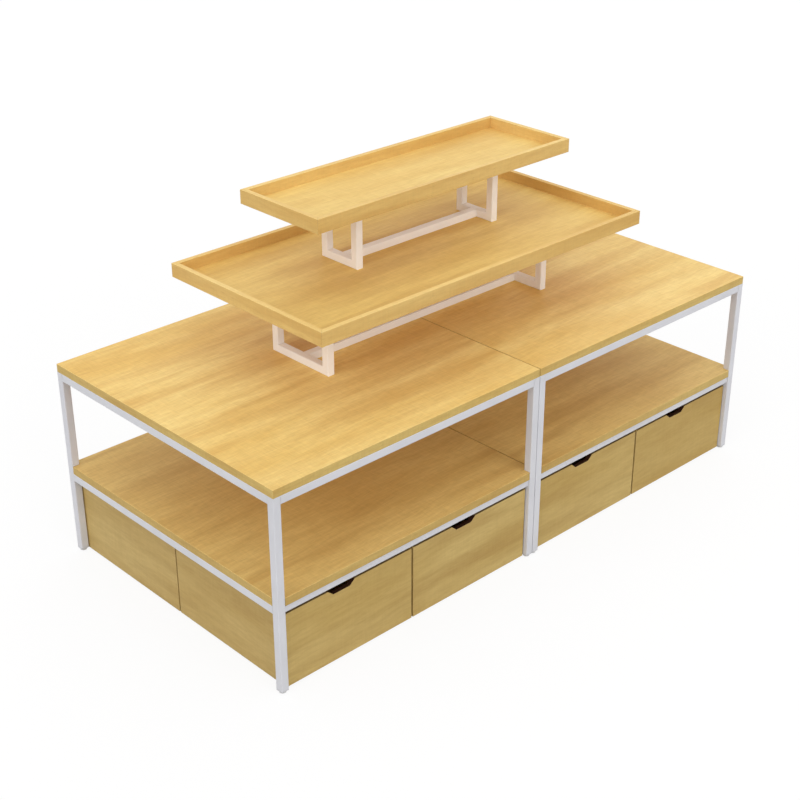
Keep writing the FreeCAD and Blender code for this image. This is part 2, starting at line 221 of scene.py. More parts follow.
def close_piece(piece, material, smooth=35):
    """Ends editing, and gives the piece its material and smooth shading up to an angle."""
    bpy.ops.mesh.select_all(action="SELECT")
    bpy.ops.mesh.normals_make_consistent(inside=False)
    bpy.ops.object.mode_set(mode="OBJECT")
    piece.data.materials.append(material)
    bpy.ops.object.shade_smooth_by_angle(angle=math.radians(smooth))
    return piece


def joined(name, parts):
    """Joins closed pieces into one."""
    bpy.ops.object.select_all(action="DESELECT")
    for part in parts:
        part.select_set(True)
    bpy.context.view_layer.objects.active = parts[0]
    if len(parts) > 1:
        bpy.ops.object.join()
    parts[0].name = name
    return parts[0]


def copies(model, places, name):
    """Copies a closed piece to places, given as x, y, z and the turns about them, and joins the copies."""
    made = []
    for x, y, z, *turns in places:
        bpy.ops.object.select_all(action="DESELECT")
        model.select_set(True)
        bpy.context.view_layer.objects.active = model
        bpy.ops.object.duplicate()
        copy = bpy.context.object
        copy.location = (x, y, z)
        copy.rotation_euler = [math.radians(turn) for turn in turns or (0, 0, 0)]
        bpy.ops.object.transform_apply(location=True, rotation=True, scale=True)
        made.append(copy)
    return joined(name, made)


def weld_bead(material):
    """Rippled bead along Z, its middle at the origin."""
    step = BEAD_LENGTH / (2 * RIPPLES + 1)
    bead = open_piece("weld_bead", "cylinder", vertices=12, radius=VALLEY * BEAD_RADIUS, depth=step,
                      location=(0, 0, (step - BEAD_LENGTH) / 2))
    pick(bead, "faces", lambda face: face.normal.z > 0.9)
    for ripple in range(RIPPLES):
        extrude(z=step)
        resize(1 / VALLEY, 1 / VALLEY)
        extrude(z=step)
        resize(VALLEY, VALLEY)
    pick(bead, "edges", lambda edge: all(abs(abs(vert.co.z) - BEAD_LENGTH / 2) < 1e-5 for vert in edge.verts))
    bpy.ops.mesh.bevel(offset=0.5 * BEAD_RADIUS, segments=2, affect="EDGES")
    return close_piece(bead, material, smooth=60)


def flush_weld(material):
    """Ground filler along Z: a right angle at the origin, its legs along -X and +Y."""
    filler = open_piece("flush_weld", "cube", size=1, scale=(GROOVE, GROOVE, FLAT_OF_TUBE),
                        location=(-GROOVE / 2, GROOVE / 2, 0))
    bpy.ops.mesh.select_all(action="SELECT")
    bpy.ops.mesh.bisect(plane_co=(-GROOVE, 0, 0), plane_no=(-1, 1, 0), threshold=1e-6, use_fill=True,
                        clear_outer=True)
    return close_piece(filler, material)


bead_places, filler_places, plate_places = [], [], []
for centre in MODULE_CENTRES:
    for level, inset in RAIL_LEVELS:
        for side_x in (-1, 1):
            for side_y in (-1, 1):
                leg_x, leg_y = centre + side_x * LEG_REACH, side_y * LEG_REACH
                joint_x, joint_y = leg_x - side_x * TUBE / 2, leg_y - side_y * TUBE / 2
                rail_y = leg_y - side_y * inset
                bead_places.append((joint_x, rail_y, level - TUBE / 2, 90, 0, 0))
                bead_places.append((leg_x, joint_y, level - TUBE / 2, 0, 90, 0))
                for face in (-1, 1):
                    turn = QUARTERS[(-face, side_y)]
                    filler_places.append((leg_x + face * TUBE / 2, joint_y, level, 0, 0, turn))
                    if not inset:
                        turn = QUARTERS[(side_x, -face)]
                        filler_places.append((joint_x, leg_y + face * TUBE / 2, level, 0, 0, turn))
                if inset:
                    bead_places.append((joint_x, rail_y + side_y * TUBE / 2, level, 0, 0, 0))
                    plate_y = rail_y - side_y * (TUBE - inset) / 2
                    plate_places.append((joint_x + side_x * END_PLATE / 2, plate_y, level))

frame_bead = weld_bead(frame_white)
frame_filler = flush_weld(frame_white)
end_plate = open_piece("rail_end_plate", "cube", size=1, scale=(END_PLATE, RAIL_LEVELS[1][1], FLAT_OF_TUBE))
pick(end_plate, "edges", lambda edge: True)
bpy.ops.mesh.bevel(offset=END_PLATE_EASE, segments=2, affect="EDGES")
close_piece(end_plate, frame_white)
frame_welds = joined("frame_welds", [copies(frame_bead, bead_places, "laid_beads"),
                                     copies(frame_filler, filler_places, "ground_welds"),
                                     copies(end_plate, plate_places, "rail_end_plates")])
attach(frame_welds, "table")
for model in (frame_bead, frame_filler, end_plate):
    bpy.data.objects.remove(model)


# --- Leg plugs and levelling feet --------------------------------------------------------------------
# Grey moulded plugs close the legs. A nylon pad with a moulded hexagon collar screws into each of them
# on a zinc-plated stem.

PAD_RADIUS = 0.012
PAD_RIM = 0.003
PAD_TOP = 0.0063
PAD_TAPER = 0.70                   # its top, as a share of its radius
PAD_ROUNDING = 0.0006
COLLAR_RADIUS = 0.0074
COLLAR_TOP = 0.008
COLLAR_CHAMFER = 0.0009
STEM_RADIUS = 0.0039
STEM_TOP = 0.032
STEM_TIP = 0.7                     # of the stem's radius
THREADS = 11
HALF_PITCH = 0.001
THREAD_ROOT = 0.86                 # of the stem's radius

# Scuffed finish: the fine speckle of moulded plastic or plated steel, in grains per metre, and how far
# speckle and scuffs together dull it.
scuffed, scuffed_in, scuffed_out = new_group("scuffed_finish", [("Fineness", "Float")],
                                             [("Speckle", "Float"), ("Uneven", "Float")])
finish_place = put(scuffed, "TexCoord").outputs["Object"]
grains = put(scuffed, "TexNoise", [("Vector", finish_place), ("Scale", scuffed_in.outputs[0]),
                                   ("Detail", 3.0)]).outputs[0]
scuffs = put(scuffed, "TexNoise", [("Vector", finish_place), ("Scale", 90.0), ("Detail", 4.0)]).outputs[0]
dulled = reckon(scuffed, "MULTIPLY_ADD", spread(scuffed, scuffs, 0.45, 0.75), 0.5,
                reckon(scuffed, "MULTIPLY", grains, 0.5))
scuffed.links.new(grains, scuffed_out.inputs["Speckle"])
scuffed.links.new(dulled, scuffed_out.inputs["Uneven"])


def plain(name, colour, roughness, metallic=0.0, fineness=700.0):
    """Moulded plastic or plated steel with a fine uneven finish."""
    material, tree, shader = new_material(name)
    finish = put(tree, "Group", [("Fineness", fineness)], node_tree=scuffed)
    speckle, uneven = finish.outputs["Speckle"], finish.outputs["Uneven"]
    worn_colour = linear(*(max(value - 16, 0) for value in colour))
    tree.links.new(blend(tree, uneven, linear(*colour), worn_colour), shader.inputs["Base Color"])
    tree.links.new(reckon(tree, "MULTIPLY_ADD", uneven, 0.22, roughness - 0.1), shader.inputs["Roughness"])
    bump = put(tree, "Bump", [("Height", speckle), ("Distance", 0.0001), ("Strength", 0.4)])
    tree.links.new(bump.outputs[0], shader.inputs["Normal"])
    shader.inputs["Metallic"].default_value = metallic
    return material


plug_grey = plain("plug_grey", (214, 214, 216), 0.5)
white_nylon = plain("white_nylon", (222, 222, 220), 0.45)
zinc = plain("zinc", (196, 198, 202), 0.38, metallic=1.0, fineness=240.0)
dress("leg_plugs", plug_grey)

pad = open_piece("foot_pad", "cylinder", vertices=48, radius=PAD_RADIUS, depth=PAD_RIM,
                 location=(0, 0, PAD_RIM / 2))
pick(pad, "faces", lambda face: face.normal.z > 0.9)
extrude(z=PAD_TOP - PAD_RIM)
resize(PAD_TAPER, PAD_TAPER)
pick(pad, "edges", lambda edge: abs(edge.verts[0].co.z - edge.verts[1].co.z) < 1e-6)
bpy.ops.mesh.bevel(offset=PAD_ROUNDING, segments=3, affect="EDGES")
close_piece(pad, white_nylon)
collar = open_piece("foot_collar", "cylinder", vertices=6, radius=COLLAR_RADIUS, depth=COLLAR_TOP - PAD_TOP,
                    location=(0, 0, (COLLAR_TOP + PAD_TOP) / 2))
pick(collar, "verts", lambda vert: vert.co.z > COLLAR_TOP - 1e-5)
bpy.ops.mesh.bevel(offset=COLLAR_CHAMFER, segments=1, affect="VERTICES")
close_piece(collar, white_nylon)
stem = open_piece("foot_stem", "cylinder", vertices=20, radius=STEM_RADIUS, depth=HALF_PITCH,
                  location=(0, 0, COLLAR_TOP + HALF_PITCH / 2))
pick(stem, "faces", lambda face: face.normal.z > 0.9)
for thread in range(THREADS):
    extrude(z=HALF_PITCH)
    resize(THREAD_ROOT, THREAD_ROOT)
    extrude(z=HALF_PITCH)
    resize(1 / THREAD_ROOT, 1 / THREAD_ROOT)
extrude(z=STEM_TOP - COLLAR_TOP - (2 * THREADS + 1) * HALF_PITCH)
resize(STEM_TIP, STEM_TIP)
close_piece(stem, zinc)
foot = joined("levelling_foot", [pad, collar, stem])
feet = copies(foot, [(centre + x, y, 0) for centre in MODULE_CENTRES for x in (-LEG_REACH, LEG_REACH)
                     for y in (-LEG_REACH, LEG_REACH)], "levelling_feet_moulded")
bpy.data.objects.remove(foot)
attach(feet, "table")
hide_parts("levelling_feet")


# --- Table tops --------------------------------------------------------------------------------------
# Two square boards of maple veneer on a 30 mm core, lacquered matt, with the grain along the table.
# Their edges carry a band of the same maple.

BOARD_CELL = (1.201, 2.6)          # each board has a figure of its own
FIGURE_STEPS = (3.7, 5.3)          # how far apart the figures of neighbouring boards are cut
BOARD_EDGE_HIGHLIGHT = 0.0016                # width of the painted highlight along a board's edges, and of their rounded-over normal
VENEER = 0.0008
GLUE_LINE = 0.0003
MITRE_LINE = 0.0005
PORE_BROWN = (150, 106, 56)
GLUE_BROWN = (128, 88, 44)
MITRE_BROWN = (120, 80, 40)
HIGHLIT_MAPLE = (250, 226, 168)
PAINTED_SHADE_BROWN = (58, 32, 20)
VEIN_SHARE = 0.42                  # how strongly each of these tints the wood under it
FLECK_SHARE = 0.22
PORE_SHARE = 0.22
GLUE_SHARE = 0.6
MITRE_SHARE = 0.45
EDGE_HIGHLIGHT_SHARE = 0.40
PAINTED_SHADE_FADE = 0.004                 # the painted shade thins over this height at the top, by the share below
PAINTED_SHADE_THINNING = 0.3
FIGURE_RELIEF = 0.0001


def drawn_noise(tree, vector, along, across, detail, roughness=0.55):
    """Noise drawn out along X, in features per metre along and across."""
    place = put(tree, "Mapping", [("Vector", vector), ("Scale", (along, across, across))])
    return put(tree, "TexNoise", [("Vector", place.outputs[0]), ("Scale", 1.0), ("Detail", detail),
                                  ("Roughness", roughness)]).outputs[0]


# Maple figure: soft bands, and darker veins that wander and gather in stretches, short flecks, fibres and
# pores, and the faint cross lines that the lacquer roller leaves.
figure, figure_in, figure_out = new_group(
    "maple_figure", [("Vector", "Vector")],
    [("Bands", "Float"), ("Veins", "Float"), ("Flecks", "Float"), ("Fibre", "Float"), ("Pores", "Float")])
wander = drawn_noise(figure, figure_in.outputs[0], 1.6, 3.0, 2.0)
wander_shift = put(figure, "CombineXYZ", [("Y", reckon(figure, "MULTIPLY", wander, 0.06))])
wandering = put(figure, "VectorMath", [(0, figure_in.outputs[0]), (1, wander_shift.outputs[0])],
                operation="ADD").outputs[0]
bands = spread(figure, drawn_noise(figure, wandering, 1.1, 6.0, 3.0), 0.35, 0.65)
stretches = spread(figure, drawn_noise(figure, wandering, 0.9, 3.6, 1.0), 0.38, 0.60)
vein_width = drawn_noise(figure, wandering, 1.2, 15.0, 4.0, 0.5)
vein = put(figure, "MapRange", [("Value", vein_width), ("From Min", 0.42), ("From Max", 0.66)],
           interpolation_type="SMOOTHSTEP").outputs[0]
veins = reckon(figure, "MULTIPLY", vein, reckon(figure, "MULTIPLY_ADD", stretches, 0.75, 0.25))
flecks = spread(figure, drawn_noise(figure, wandering, 13.0, 95.0, 3.0, 0.6), 0.36, 0.64)
fibre = spread(figure, drawn_noise(figure, wandering, 20.0, 230.0, 3.0, 0.6), 0.30, 0.70)
roller = spread(figure, drawn_noise(figure, figure_in.outputs[0], 125.0, 15.0, 2.0), 0.32, 0.68)
linen = reckon(figure, "MULTIPLY_ADD", fibre, 0.58, reckon(figure, "MULTIPLY", roller, 0.42))
pores = spread(figure, drawn_noise(figure, wandering, 38.0, 640.0, 2.0), 0.60, 0.74)
for label, value in (("Bands", bands), ("Veins", veins), ("Flecks", flecks), ("Fibre", linen),
                     ("Pores", pores)):
    figure.links.new(value, figure_out.inputs[label])


# Mitred ring: 1 on the end boards of a rim with these outer sides, and 1 on the glue line of its mitres.
ring, ring_in, ring_out = new_group(
    "mitred_ring", [("Left", "Float"), ("Front", "Float"), ("Right", "Float"), ("Rear", "Float")],
    [("End boards", "Float"), ("Mitres", "Float")])
ring_place = put(ring, "SeparateXYZ", [(0, put(ring, "TexCoord").outputs["Object"])])
beyond = []
for axis, low, high in ((0, "Left", "Right"), (1, "Front", "Rear")):
    low_side, high_side = ring_in.outputs[low], ring_in.outputs[high]
    from_low = reckon(ring, "SUBTRACT", ring_place.outputs[axis], low_side)
    from_high = reckon(ring, "SUBTRACT", high_side, ring_place.outputs[axis])
    beyond.append(reckon(ring, "MINIMUM", from_low, from_high))
apart = reckon(ring, "ABSOLUTE", reckon(ring, "SUBTRACT", beyond[0], beyond[1]))
ring.links.new(reckon(ring, "LESS_THAN", beyond[0], beyond[1]), ring_out.inputs["End boards"])
ring.links.new(reckon(ring, "LESS_THAN", apart, MITRE_LINE), ring_out.inputs["Mitres"])

# Glue lines: 1 on the fine lines where an edge band meets the veneers of the board's underside and top.
banded, banded_in, banded_out = new_group("glue_lines", [("Underside", "Float"), ("Top", "Float")],
                                          [("Lines", "Float")])
band_coordinates = put(banded, "TexCoord")
band_place = put(banded, "SeparateXYZ", [(0, band_coordinates.outputs["Object"])])
band_facing = put(banded, "SeparateXYZ", [(0, band_coordinates.outputs["Normal"])])
above = reckon(banded, "SUBTRACT", band_place.outputs[2], banded_in.outputs["Underside"])
below = reckon(banded, "SUBTRACT", banded_in.outputs["Top"], band_place.outputs[2])
from_face = reckon(banded, "MINIMUM", above, below)
off_line = reckon(banded, "ABSOLUTE", reckon(banded, "SUBTRACT", from_face, VENEER))
on_band = reckon(banded, "LESS_THAN", reckon(banded, "ABSOLUTE", band_facing.outputs[2]), 0.7)
glued = reckon(banded, "MULTIPLY", on_band, reckon(banded, "LESS_THAN", off_line, GLUE_LINE / 2))
banded.links.new(glued, banded_out.inputs["Lines"])


def maple(name, cell, light, middle, dark, side=(1.0, 1.0, 1.0), ruling=0.16, faces=None, rim=None,
          shaded_heights=None, gloss=0.46):
    """Lacquered maple. cell is the size of one board's figure, side is painted shade that darkens the upright
    faces, ruling is the strength of fibres and roller lines, faces are the heights of an edge band's two
    veneers, rim is the box of a mitred rim. Upward faces between the shaded heights carry dark brown painted
    shade, thinly at the top."""
    material, tree, shader = new_material(name)
    coordinates = put(tree, "TexCoord")
    place = put(tree, "SeparateXYZ", [(0, coordinates.outputs["Object"])])
    facing = put(tree, "SeparateXYZ", [(0, coordinates.outputs["Normal"])])
    runs_across = reckon(tree, "GREATER_THAN", reckon(tree, "ABSOLUTE", facing.outputs[0]), 0.7)
    upright = reckon(tree, "LESS_THAN", reckon(tree, "ABSOLUTE", facing.outputs[2]), 0.7)
    if rim:
        low, high = rim
        mitred = put(tree, "Group", [("Left", low.x), ("Front", low.y), ("Right", high.x), ("Rear", high.y)],
                     node_tree=ring)
        runs_across = reckon(tree, "MAXIMUM", runs_across, mitred.outputs["End boards"])
    # Which board a point is on, counted along X and Y. Each board shows the figure at a depth of its own.
    board = [reckon(tree, "FLOOR", reckon(tree, "MULTIPLY_ADD", place.outputs[axis], 1 / cell[axis],
                                          0.5 if cell[axis] > 2 else 0.0)) for axis in (0, 1)]
    cut = reckon(tree, "MULTIPLY_ADD", board[1], FIGURE_STEPS[1],
                 reckon(tree, "MULTIPLY", board[0], FIGURE_STEPS[0]))
    depth = reckon(tree, "ADD", place.outputs[2], cut)
    lengthwise = put(tree, "CombineXYZ", [(0, place.outputs[0]), (1, place.outputs[1]), (2, depth)])
    crosswise = put(tree, "CombineXYZ", [(0, place.outputs[1]), (1, place.outputs[0]), (2, depth)])
    along_grain = put(tree, "Mix", [(0, runs_across), (4, lengthwise.outputs[0]), (5, crosswise.outputs[0])],
                      data_type="VECTOR").outputs[1]
    grain = put(tree, "Group", [("Vector", along_grain)], node_tree=figure)
    edge_highlight = put(tree, "Group", [("Radius", BOARD_EDGE_HIGHLIGHT)], node_tree=highlit_edge)
    base = blend(tree, grain.outputs["Bands"], linear(*light), linear(*middle))
    veined = blend(tree, reckon(tree, "MULTIPLY", grain.outputs["Veins"], VEIN_SHARE), base, linear(*dark))
    flecks_seen = reckon(tree, "MULTIPLY", grain.outputs["Flecks"], FLECK_SHARE)
    flecked = blend(tree, flecks_seen, veined, linear(*dark))
    fibred = reckon(tree, "MULTIPLY_ADD", grain.outputs["Fibre"], -ruling, 1.0 + 0.53 * ruling)
    ruled = put(tree, "VectorMath", [(0, flecked), ("Scale", fibred)], operation="SCALE").outputs[0]
    pores_seen = reckon(tree, "MULTIPLY", grain.outputs["Pores"], PORE_SHARE)
    pored = blend(tree, pores_seen, ruled, linear(*PORE_BROWN))
    # Painted shade: side darkens the upright faces, as if they were less lit than the tops.
    shade = blend(tree, upright, (1.0, 1.0, 1.0, 1.0), (*side, 1.0))
    upright_shaded = put(tree, "VectorMath", [(0, pored), (1, shade)], operation="MULTIPLY").outputs[0]
    if faces:
        glue = put(tree, "Group", [("Underside", faces[0]), ("Top", faces[1])], node_tree=banded)
        glued = reckon(tree, "MULTIPLY", glue.outputs["Lines"], GLUE_SHARE)
        upright_shaded = blend(tree, glued, upright_shaded, linear(*GLUE_BROWN))
    if rim:
        glued = reckon(tree, "MULTIPLY", mitred.outputs["Mitres"], MITRE_SHARE)
        upright_shaded = blend(tree, glued, upright_shaded, linear(*MITRE_BROWN))
    # Painted highlight: the wood is lightened along its sharp edges.
    edges_seen = reckon(tree, "MULTIPLY", edge_highlight.outputs["Edge"], EDGE_HIGHLIGHT_SHARE)
    highlit = blend(tree, edges_seen, upright_shaded, linear(*HIGHLIT_MAPLE))
    # Painted shade: upward faces between the two heights turn dark brown, more thinly at the top.
    if shaded_heights:
        low, high = shaded_heights
        upward = reckon(tree, "GREATER_THAN", facing.outputs[2], 0.3)
        raised = reckon(tree, "MULTIPLY", upward, reckon(tree, "GREATER_THAN", place.outputs[2], low))
        near_top = spread(tree, place.outputs[2], high - PAINTED_SHADE_FADE, high)
        thinned = reckon(tree, "MULTIPLY_ADD", near_top, -PAINTED_SHADE_THINNING, 1.0)
        painted_shade = reckon(tree, "MULTIPLY", raised, thinned)
        highlit = blend(tree, painted_shade, highlit, linear(*PAINTED_SHADE_BROWN))
    tree.links.new(highlit, shader.inputs["Base Color"])
    roughness = reckon(tree, "MULTIPLY_ADD", grain.outputs["Fibre"], 0.12, gloss)
    tree.links.new(roughness, shader.inputs["Roughness"])
    relief = reckon(tree, "SUBTRACT", grain.outputs["Fibre"], grain.outputs["Pores"])
    bump = put(tree, "Bump", [("Height", relief), ("Distance", FIGURE_RELIEF), ("Strength", 0.5),
                              ("Normal", edge_highlight.outputs["Normal"])])
    tree.links.new(bump.outputs[0], shader.inputs["Normal"])
    shader.inputs["Specular IOR Level"].default_value = 0.22
    return material


def heights(node):
    """Heights of a piece's underside and top."""
    low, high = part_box(node)
    return low.z, high.z


# side darkens the board edges as painted shade.
top_maple = maple("top_maple", BOARD_CELL, light=(249, 219, 141), middle=(234, 194, 111), dark=(204, 150, 72),
                  side=(0.75, 0.75, 0.69), faces=heights("left_top_board"))
for module in ("left", "right"):
    dress(module + "_top_board", top_maple)


# --- Shelves -----------------------------------------------------------------------------------------
# One board under each top, of the same veneer on a 30 mm core, with its edges banded. It lies on the
# lower rails and is notched round the four legs. Its maple is set a little darker than the top's, as
# painted shade.

# side darkens the shelf edges as painted shade.
shelf_maple = maple("shelf_maple", BOARD_CELL, light=(239, 207, 131), middle=(223, 185, 109),
                    dark=(190, 143, 73), side=(0.76, 0.76, 0.71), faces=heights("left_shelf_board"))
for module in ("left", "right"):
    dress(module + "_shelf_board", shelf_maple)


# --- Screws and link bolts ---------------------------------------------------------------------------
# Round-head socket screws hold the boards from inside the top rails. Zinc-plated hexagon bolts with
# nuts and spacer washers tie the two frames together.

HEAD_ROUNDING = 0.45               # of a screw head's height
SOCKET = 0.42                      # of its radius
SOCKET_RIM = 0.04                  # of its radius
SOCKET_DEPTH = 0.55                # of its height
POINT = 0.2                        # of the shank's length, and of its radius
BOARD_SCREW = (0.0045, 0.0025, 0.0024, 0.020)     # head radius, head height, shank radius, shank length
BOARD_SCREW_SEAT = 0.738
BOARD_SCREW_OFFSET = 0.380
BOLT_PLACES = [(y, level) for y in (-0.320, 0.320) for level in (0.725, 0.320)]
RAIL_OUTSIDE = 0.031               # from the middle of the pair to the faces under head and nut
HEX_RADIUS = 0.0075
HEX_HEIGHT = 0.0055
HEX_CHAMFER = 0.0011
SHANK_RADIUS = 0.004
SHANK_CHAMFER = 0.0006
SHANK_TIP = 0.8                    # of the shank's radius
SPACER_RADIUS = 0.010
SPACER_HOLE = 0.0043
SPACER = 0.002
SPACER_EASE = 0.0002


def socket_screw(head, height, shank, length):
    """Round-head screw with a hexagon socket, its seat at the origin, head down and point up."""
    screw = open_piece("socket_screw", "cylinder", vertices=24, radius=head, depth=height,
                       location=(0, 0, -height / 2))
    pick(screw, "edges", lambda edge: all(vert.co.z < -0.9 * height for vert in edge.verts))
    bpy.ops.mesh.bevel(offset=HEAD_ROUNDING * height, segments=3, affect="EDGES")
    pick(screw, "faces", lambda face: face.normal.z < -0.99)
    bpy.ops.mesh.inset(thickness=SOCKET_RIM * head)
    bpy.ops.mesh.delete(type="FACE")
    bpy.ops.mesh.select_mode(type="EDGE")
    bpy.ops.mesh.primitive_circle_add(vertices=6, radius=SOCKET * head, location=(0, 0, -height))
    extrude(z=SOCKET_DEPTH * height)
    bpy.ops.mesh.edge_face_add()
    pick(screw, "edges", lambda edge: edge.is_boundary)
    bpy.ops.mesh.bridge_edge_loops()
    pick(screw, "faces", lambda face: face.normal.z > 0.9 and abs(face.calc_center_median().z) < 1e-6)
    bpy.ops.mesh.inset(thickness=head - shank)
    extrude(z=(1 - POINT) * length)
    extrude(z=POINT * length)
    resize(POINT, POINT)
    return close_piece(screw, zinc)


board_screw = socket_screw(*BOARD_SCREW)
board_screws = copies(board_screw, [(centre + x, y, BOARD_SCREW_SEAT) for centre in MODULE_CENTRES
                                    for x in (-BOARD_SCREW_OFFSET, BOARD_SCREW_OFFSET)
                                    for y in (-LEG_REACH, LEG_REACH)], "board_socket_screws")

hexagon = open_piece("bolt_head", "cylinder", vertices=6, radius=HEX_RADIUS, depth=HEX_HEIGHT,
                     location=(-RAIL_OUTSIDE - HEX_HEIGHT / 2, 0, 0), rotation=(0, math.pi / 2, 0))
pick(hexagon, "verts", lambda vert: vert.co.x < -RAIL_OUTSIDE - HEX_HEIGHT + 1e-5)
bpy.ops.mesh.bevel(offset=HEX_CHAMFER, segments=1, affect="VERTICES")
close_piece(hexagon, zinc)
nut = copies(hexagon, [(0, 0, 0, 0, 0, 180)], "bolt_nut")
shank = open_piece("bolt_shank", "cylinder", vertices=24, radius=SHANK_RADIUS, depth=2 * RAIL_OUTSIDE,
                   rotation=(0, math.pi / 2, 0))
pick(shank, "faces", lambda face: face.normal.x > 0.9)
extrude(x=HEX_HEIGHT)
extrude(x=SHANK_CHAMFER)
resize(y=SHANK_TIP, z=SHANK_TIP)
close_piece(shank, zinc)
spacer = open_piece("spacer_washer", "cylinder", vertices=40, radius=SPACER_RADIUS, depth=SPACER,
                    rotation=(0, math.pi / 2, 0))
pick(spacer, "faces", lambda face: abs(face.normal.x) > 0.9)
bpy.ops.mesh.inset(thickness=SPACER_RADIUS - SPACER_HOLE)
bpy.ops.mesh.bridge_edge_loops()
pick(spacer, "edges", lambda edge: edge.calc_face_angle(0) > 1.0)
bpy.ops.mesh.bevel(offset=SPACER_EASE, segments=2, affect="EDGES")
close_piece(spacer, zinc)
link_bolt = joined("link_bolt", [hexagon, nut, shank, spacer])
link_bolts = copies(link_bolt, [(0, y, z) for y, z in BOLT_PLACES], "link_bolt_sets")
for piece, node in ((board_screws, "board_screws"), (link_bolts, "link_bolts")):
    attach(piece, "table")
    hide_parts(node)
for model in (board_screw, link_bolt):
    bpy.data.objects.remove(model)


# --- Tray risers -------------------------------------------------------------------------------------
# Two U frames of square tube, mitred at the corners and joined by a low stretcher, powder coated in a
# warmer white. Flanges on the uprights are screwed under the tray. Each tray is a thin veneered floor
# in four solid maple rim boards, mitred, whose grain turns at the mitre.

TRAY_CELL = (4.0, 4.0)
FLANGE = 0.004
FLANGE_SCREW = 0.020               # from the upright to the flange's screw
TRAY_SCREW = (0.0045, 0.0025, 0.0024, 0.013)
riser_white = powder_coat("riser_white", (253, 249, 247), (255, 253, 251))
riser_bead = weld_bead(riser_white)
riser_filler = flush_weld(riser_white)
tray_screw = socket_screw(*TRAY_SCREW)
# The middle tray's floor is a little darker than the top tray's, as painted shade under the top tray.
for tray, floor_colours in (("middle", ((243, 211, 129), (226, 187, 105), (197, 148, 72))),
                            ("top", ((246, 216, 136), (233, 196, 115), (206, 158, 81)))):
    dress(tray + "_riser_frame", riser_white)
    dress(tray + "_tray_floor", maple(tray + "_tray_maple", TRAY_CELL, *floor_colours, ruling=0.12))
    # side darkens the rims' upright faces as painted shade.
    rim_maple = maple(tray + "_rim_maple", TRAY_CELL, light=(247, 216, 141), middle=(236, 199, 121),
                      dark=(210, 162, 88), side=(0.87, 0.83, 0.78), ruling=0.09,
                      rim=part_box(tray + "_tray_rims"))
    dress(tray + "_tray_rims", rim_maple)
    low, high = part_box(tray + "_riser_frame")
    middle_y, stretcher_top, flange_under = (low.y + high.y) / 2, low.z + TUBE, high.z - FLANGE
    beads, fillers, screws = [], [], []
    for side, end in ((-1, low.x), (1, high.x)):
        inner = end - side * TUBE
        for face in (-1, 1):
            beads.append((inner, middle_y + face * TUBE / 2, low.z + TUBE / 2, 0, 0, 0))
        fillers.append((inner, middle_y, stretcher_top, -90, 0, 0 if side < 0 else 180))
        for y in (low.y + TUBE / 2, high.y - TUBE / 2):
            beads.append((inner, y, flange_under, 90, 0, 0))
            screws.append((inner - side * FLANGE_SCREW, y, flange_under))
    welds = joined(tray + "_riser_welds", [copies(riser_bead, beads, "laid_beads"),
                                           copies(riser_filler, fillers, "ground_welds")])
    fixings = copies(tray_screw, screws, tray + "_tray_socket_screws")
    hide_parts(tray + "_tray_screws")
    for piece in (welds, fixings):
        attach(piece, tray + "_riser")
for model in (riser_bead, riser_filler, tray_screw):
    bpy.data.objects.remove(model)


# --- Roll-out boxes ----------------------------------------------------------------------------------
# Boxes of 18 mm veneered board, fronts mitred into the sides, bottom panels let into grooves. The top
# edge of each front and its finger cut-out carry dark brown painted shade, the edge more thinly.

BOX_CELL = (0.601, 0.6)
PULL_LOW = 0.265                   # just below the finger cut-out
# The dark brown on the fronts' top edge and cut-out is painted shade.
front_maple = maple("box_front_maple", BOX_CELL, light=(210, 182, 115), middle=(192, 160, 91),
                    dark=(166, 130, 68), ruling=0.07, shaded_heights=(PULL_LOW, heights("drawer_1_front")[1]))
side_maple = maple("box_side_maple", BOX_CELL, light=(209, 181, 116), middle=(191, 159, 93),
                   dark=(165, 130, 69), ruling=0.07)
for number in range(1, 9):
    dress("drawer_%d_front" % number, front_maple)
    dress("drawer_%d_carcass" % number, side_maple)


# --- Casters -----------------------------------------------------------------------------------------
# Four fixed casters under each box, pressed from zinc-plated sheet: a plate with rounded corners held
# by four screws, two cheeks with a stamped recess, and an axle riveted over on both sides.

PLATE_WIDTH = 0.044
PLATE_LENGTH = 0.062
PLATE_CORNER = 0.006
SHEET = 0.0025
SHEET_EASE = 0.0004                # rounding of the sheet's edges
PLATE_TOP = 0.058
CHEEK_OUTSIDE = 0.0115
CHEEK_LENGTH = 0.060
CHEEK_LOW = 0.014
TIP_SHARE = 0.3                    # width of a cheek's tip, as a share of its upper length
RECESS_MARGIN = 0.005
RECESS = 0.0008
AXLE_HEIGHT = 0.020
AXLE_RADIUS = 0.003
AXLE_EASE = 0.0003
RIVET_RADIUS = 0.0052
RIVET = 0.0018
PLATE_SCREW = (0.0034, 0.0022, 0.0015, 0.012)
PLATE_SCREW_PLACES = [(x, y) for x in (-0.0168, 0.0168) for y in (-0.025, 0.025)]

plate = open_piece("caster_plate", "cube", size=1, scale=(PLATE_WIDTH, PLATE_LENGTH, SHEET),
                   location=(0, 0, PLATE_TOP - SHEET / 2))
pick(plate, "edges", lambda edge: abs(edge.verts[0].co.z - edge.verts[1].co.z) > SHEET / 2)
bpy.ops.mesh.bevel(offset=PLATE_CORNER, segments=5, affect="EDGES")
pick(plate, "edges", lambda edge: edge.calc_face_angle(0) > 1.0)
bpy.ops.mesh.bevel(offset=SHEET_EASE, segments=2, affect="EDGES")
close_piece(plate, zinc)

